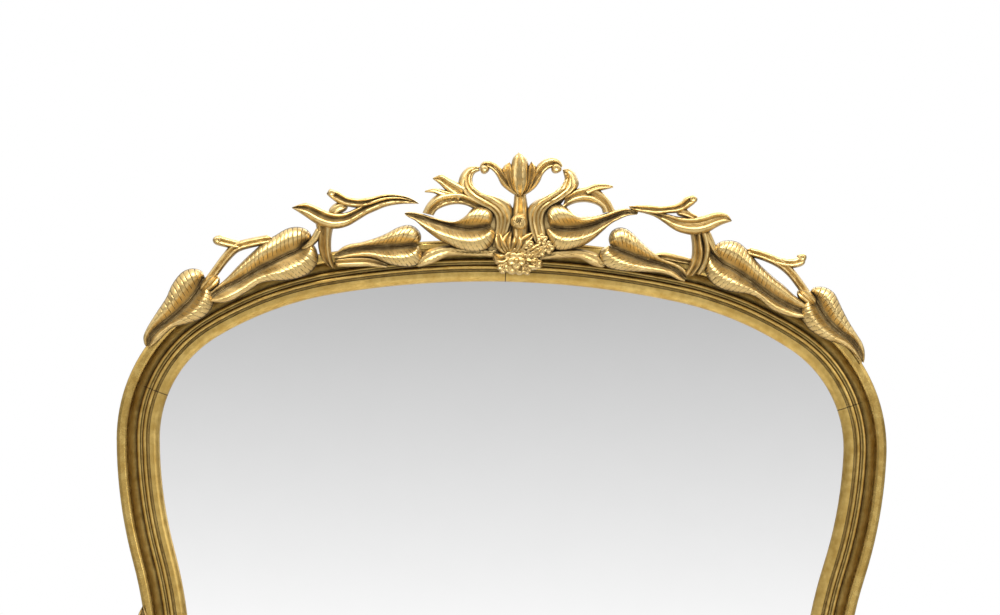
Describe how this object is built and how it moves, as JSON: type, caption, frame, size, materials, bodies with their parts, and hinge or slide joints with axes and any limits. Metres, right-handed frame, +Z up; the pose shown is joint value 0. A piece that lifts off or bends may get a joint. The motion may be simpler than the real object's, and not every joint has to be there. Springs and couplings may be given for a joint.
{
  "type": "overmantel mirror",
  "caption": "Tall balloon-topped overmantel mirror in a moulded giltwood frame, with a pierced crest of carved leaves, scrolls and a central flower.",
  "frame": {"origin": "middle of the frame's bottom edge, on the back plane that lies against the wall", "axes": "+X to the right as the mirror is seen from the front, +Y towards the wall, +Z up"},
  "size_m": [1.4504, 0.096, 1.613],
  "materials": {
    "gilt_moulding": "oil gilding over gesso and brown bole, worn along the ridges",
    "gilt_carving": "burnished gilding over gesso, darker in the cut veins",
    "mirror_glass": "clear silvered plate glass",
    "pine_board": "old sawn pine, unpainted",
    "pine_block": "sawn pine",
    "beech_tongue": "planed beech",
    "steel_screw": "dull steel",
    "brass_pin": "dull brass",
    "brass_hanger": "dull brass, tarnished"
  },
  "bodies": {
    "frame": {"arch_left": "gilt_moulding", "arch_right": "gilt_moulding", "back_board_bottom": "pine_board", "back_board_lower": "pine_board", "back_board_middle": "pine_board", "back_board_screws": "steel_screw", "back_board_top": "pine_board", "back_board_upper": "pine_board", "base_corner_left": "gilt_moulding", "base_corner_right": "gilt_moulding", "bottom_rail": "gilt_moulding", "corner_leaf_lower_left": "gilt_carving", "corner_leaf_lower_right": "gilt_carving", "corner_leaf_upper_left": "gilt_carving", "corner_leaf_upper_right": "gilt_carving", "corner_rosette_left": "gilt_carving", "corner_rosette_right": "gilt_carving", "crest_boss": "gilt_carving", "crest_flower": "gilt_carving", "crest_stem": "gilt_carving", "glazing_blocks": "pine_block", "hanger_screws": "steel_screw", "hanger_strap_left": "brass_hanger", "hanger_strap_right": "brass_hanger", "heart_leaf_left": "gilt_carving", "heart_leaf_right": "gilt_carving", "inner_leaf_left": "gilt_carving", "inner_leaf_right": "gilt_carving", "joint_tongues": "beech_tongue", "long_leaf_left": "gilt_carving", "long_leaf_right": "gilt_carving", "lowest_leaf_left": "gilt_carving", "lowest_leaf_right": "gilt_carving", "mirror_plate": "mirror_glass", "ornament_pins": "brass_pin", "post_left": "gilt_carving", "post_right": "gilt_carving", "posy_leaves": "gilt_carving", "posy_rosette": "gilt_carving", "posy_small_rosettes": "gilt_carving", "scroll_left": "gilt_carving", "scroll_right": "gilt_carving", "short_blade_left": "gilt_carving", "short_blade_right": "gilt_carving", "side_curl_left": "gilt_carving", "side_curl_right": "gilt_carving", "side_leaf_lower_left": "gilt_carving", "side_leaf_lower_right": "gilt_carving", "side_leaf_upper_left": "gilt_carving", "side_leaf_upper_right": "gilt_carving", "sprig_left": "gilt_carving", "sprig_right": "gilt_carving", "stile_left": "gilt_moulding", "stile_right": "gilt_moulding", "swept_blade_left": "gilt_carving", "swept_blade_right": "gilt_carving"},
    "ring_left": {"hanger_ring_left": "brass_hanger"},
    "ring_right": {"hanger_ring_right": "brass_hanger"}
  },
  "joints": [
    {"name": "ring_left_swing", "type": "hinge", "parent": "frame", "child": "ring_left", "pos_m": [-0.676, -0.0049, 1.0841], "axis": [1, 0, 0], "range_deg": [0, 165]},
    {"name": "ring_right_swing", "type": "hinge", "parent": "frame", "child": "ring_right", "pos_m": [0.676, -0.0049, 1.0841], "axis": [1, 0, 0], "range_deg": [0, 165]}
  ]
}
